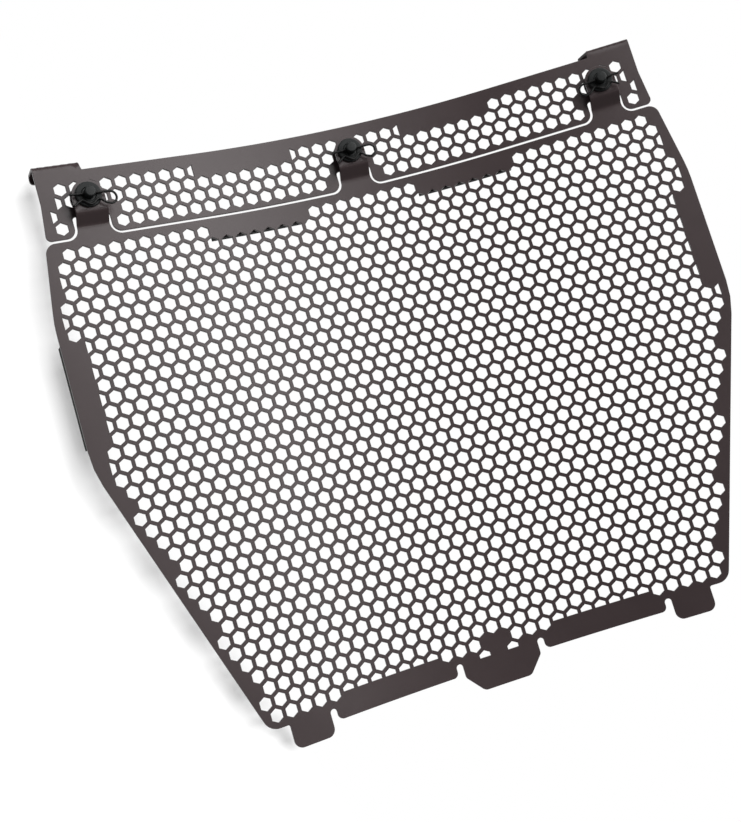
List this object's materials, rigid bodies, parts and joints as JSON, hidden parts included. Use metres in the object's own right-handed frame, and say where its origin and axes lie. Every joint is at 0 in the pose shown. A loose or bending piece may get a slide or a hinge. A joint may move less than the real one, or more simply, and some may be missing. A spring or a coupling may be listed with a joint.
{
  "type": "motorcycle radiator guard",
  "caption": "Curved hexagon-perforated radiator guard: a hooked upper strip with studs, joined to a main screen by raised tabs, rubber grommets and spring clips.",
  "frame": {"origin": "under the middle of the guard's box, on the surface it lies on", "axes": "+X across the guard's width, +Y up the screen towards the hooked upper strip, +Z out of its hollow front face"},
  "size_m": [0.3794, 0.3414, 0.0434],
  "materials": {
    "sheet": "satin dark anodised sheet, warm graphite",
    "grommet": "matt moulded rubber",
    "stud": "black plated steel, satin",
    "clip": "black spring wire",
    "foam": "matt closed-cell foam strip"
  },
  "bodies": {
    "root": {"main_panel": "sheet", "upper_panel": "sheet", "stud_left": "stud", "stud_centre": "stud", "stud_right": "stud", "grommet_left": "grommet", "grommet_centre": "grommet", "grommet_right": "grommet", "r_clip_left": "clip", "r_clip_centre": "clip", "r_clip_right": "clip", "top_pad_left": "foam", "top_pad_right": "foam", "side_pad_left": "foam", "side_pad_right": "foam", "bottom_pad_left": "foam", "bottom_pad_right": "foam", "upper_pad_left": "foam", "upper_pad_right": "foam"}
  },
  "joints": []
}
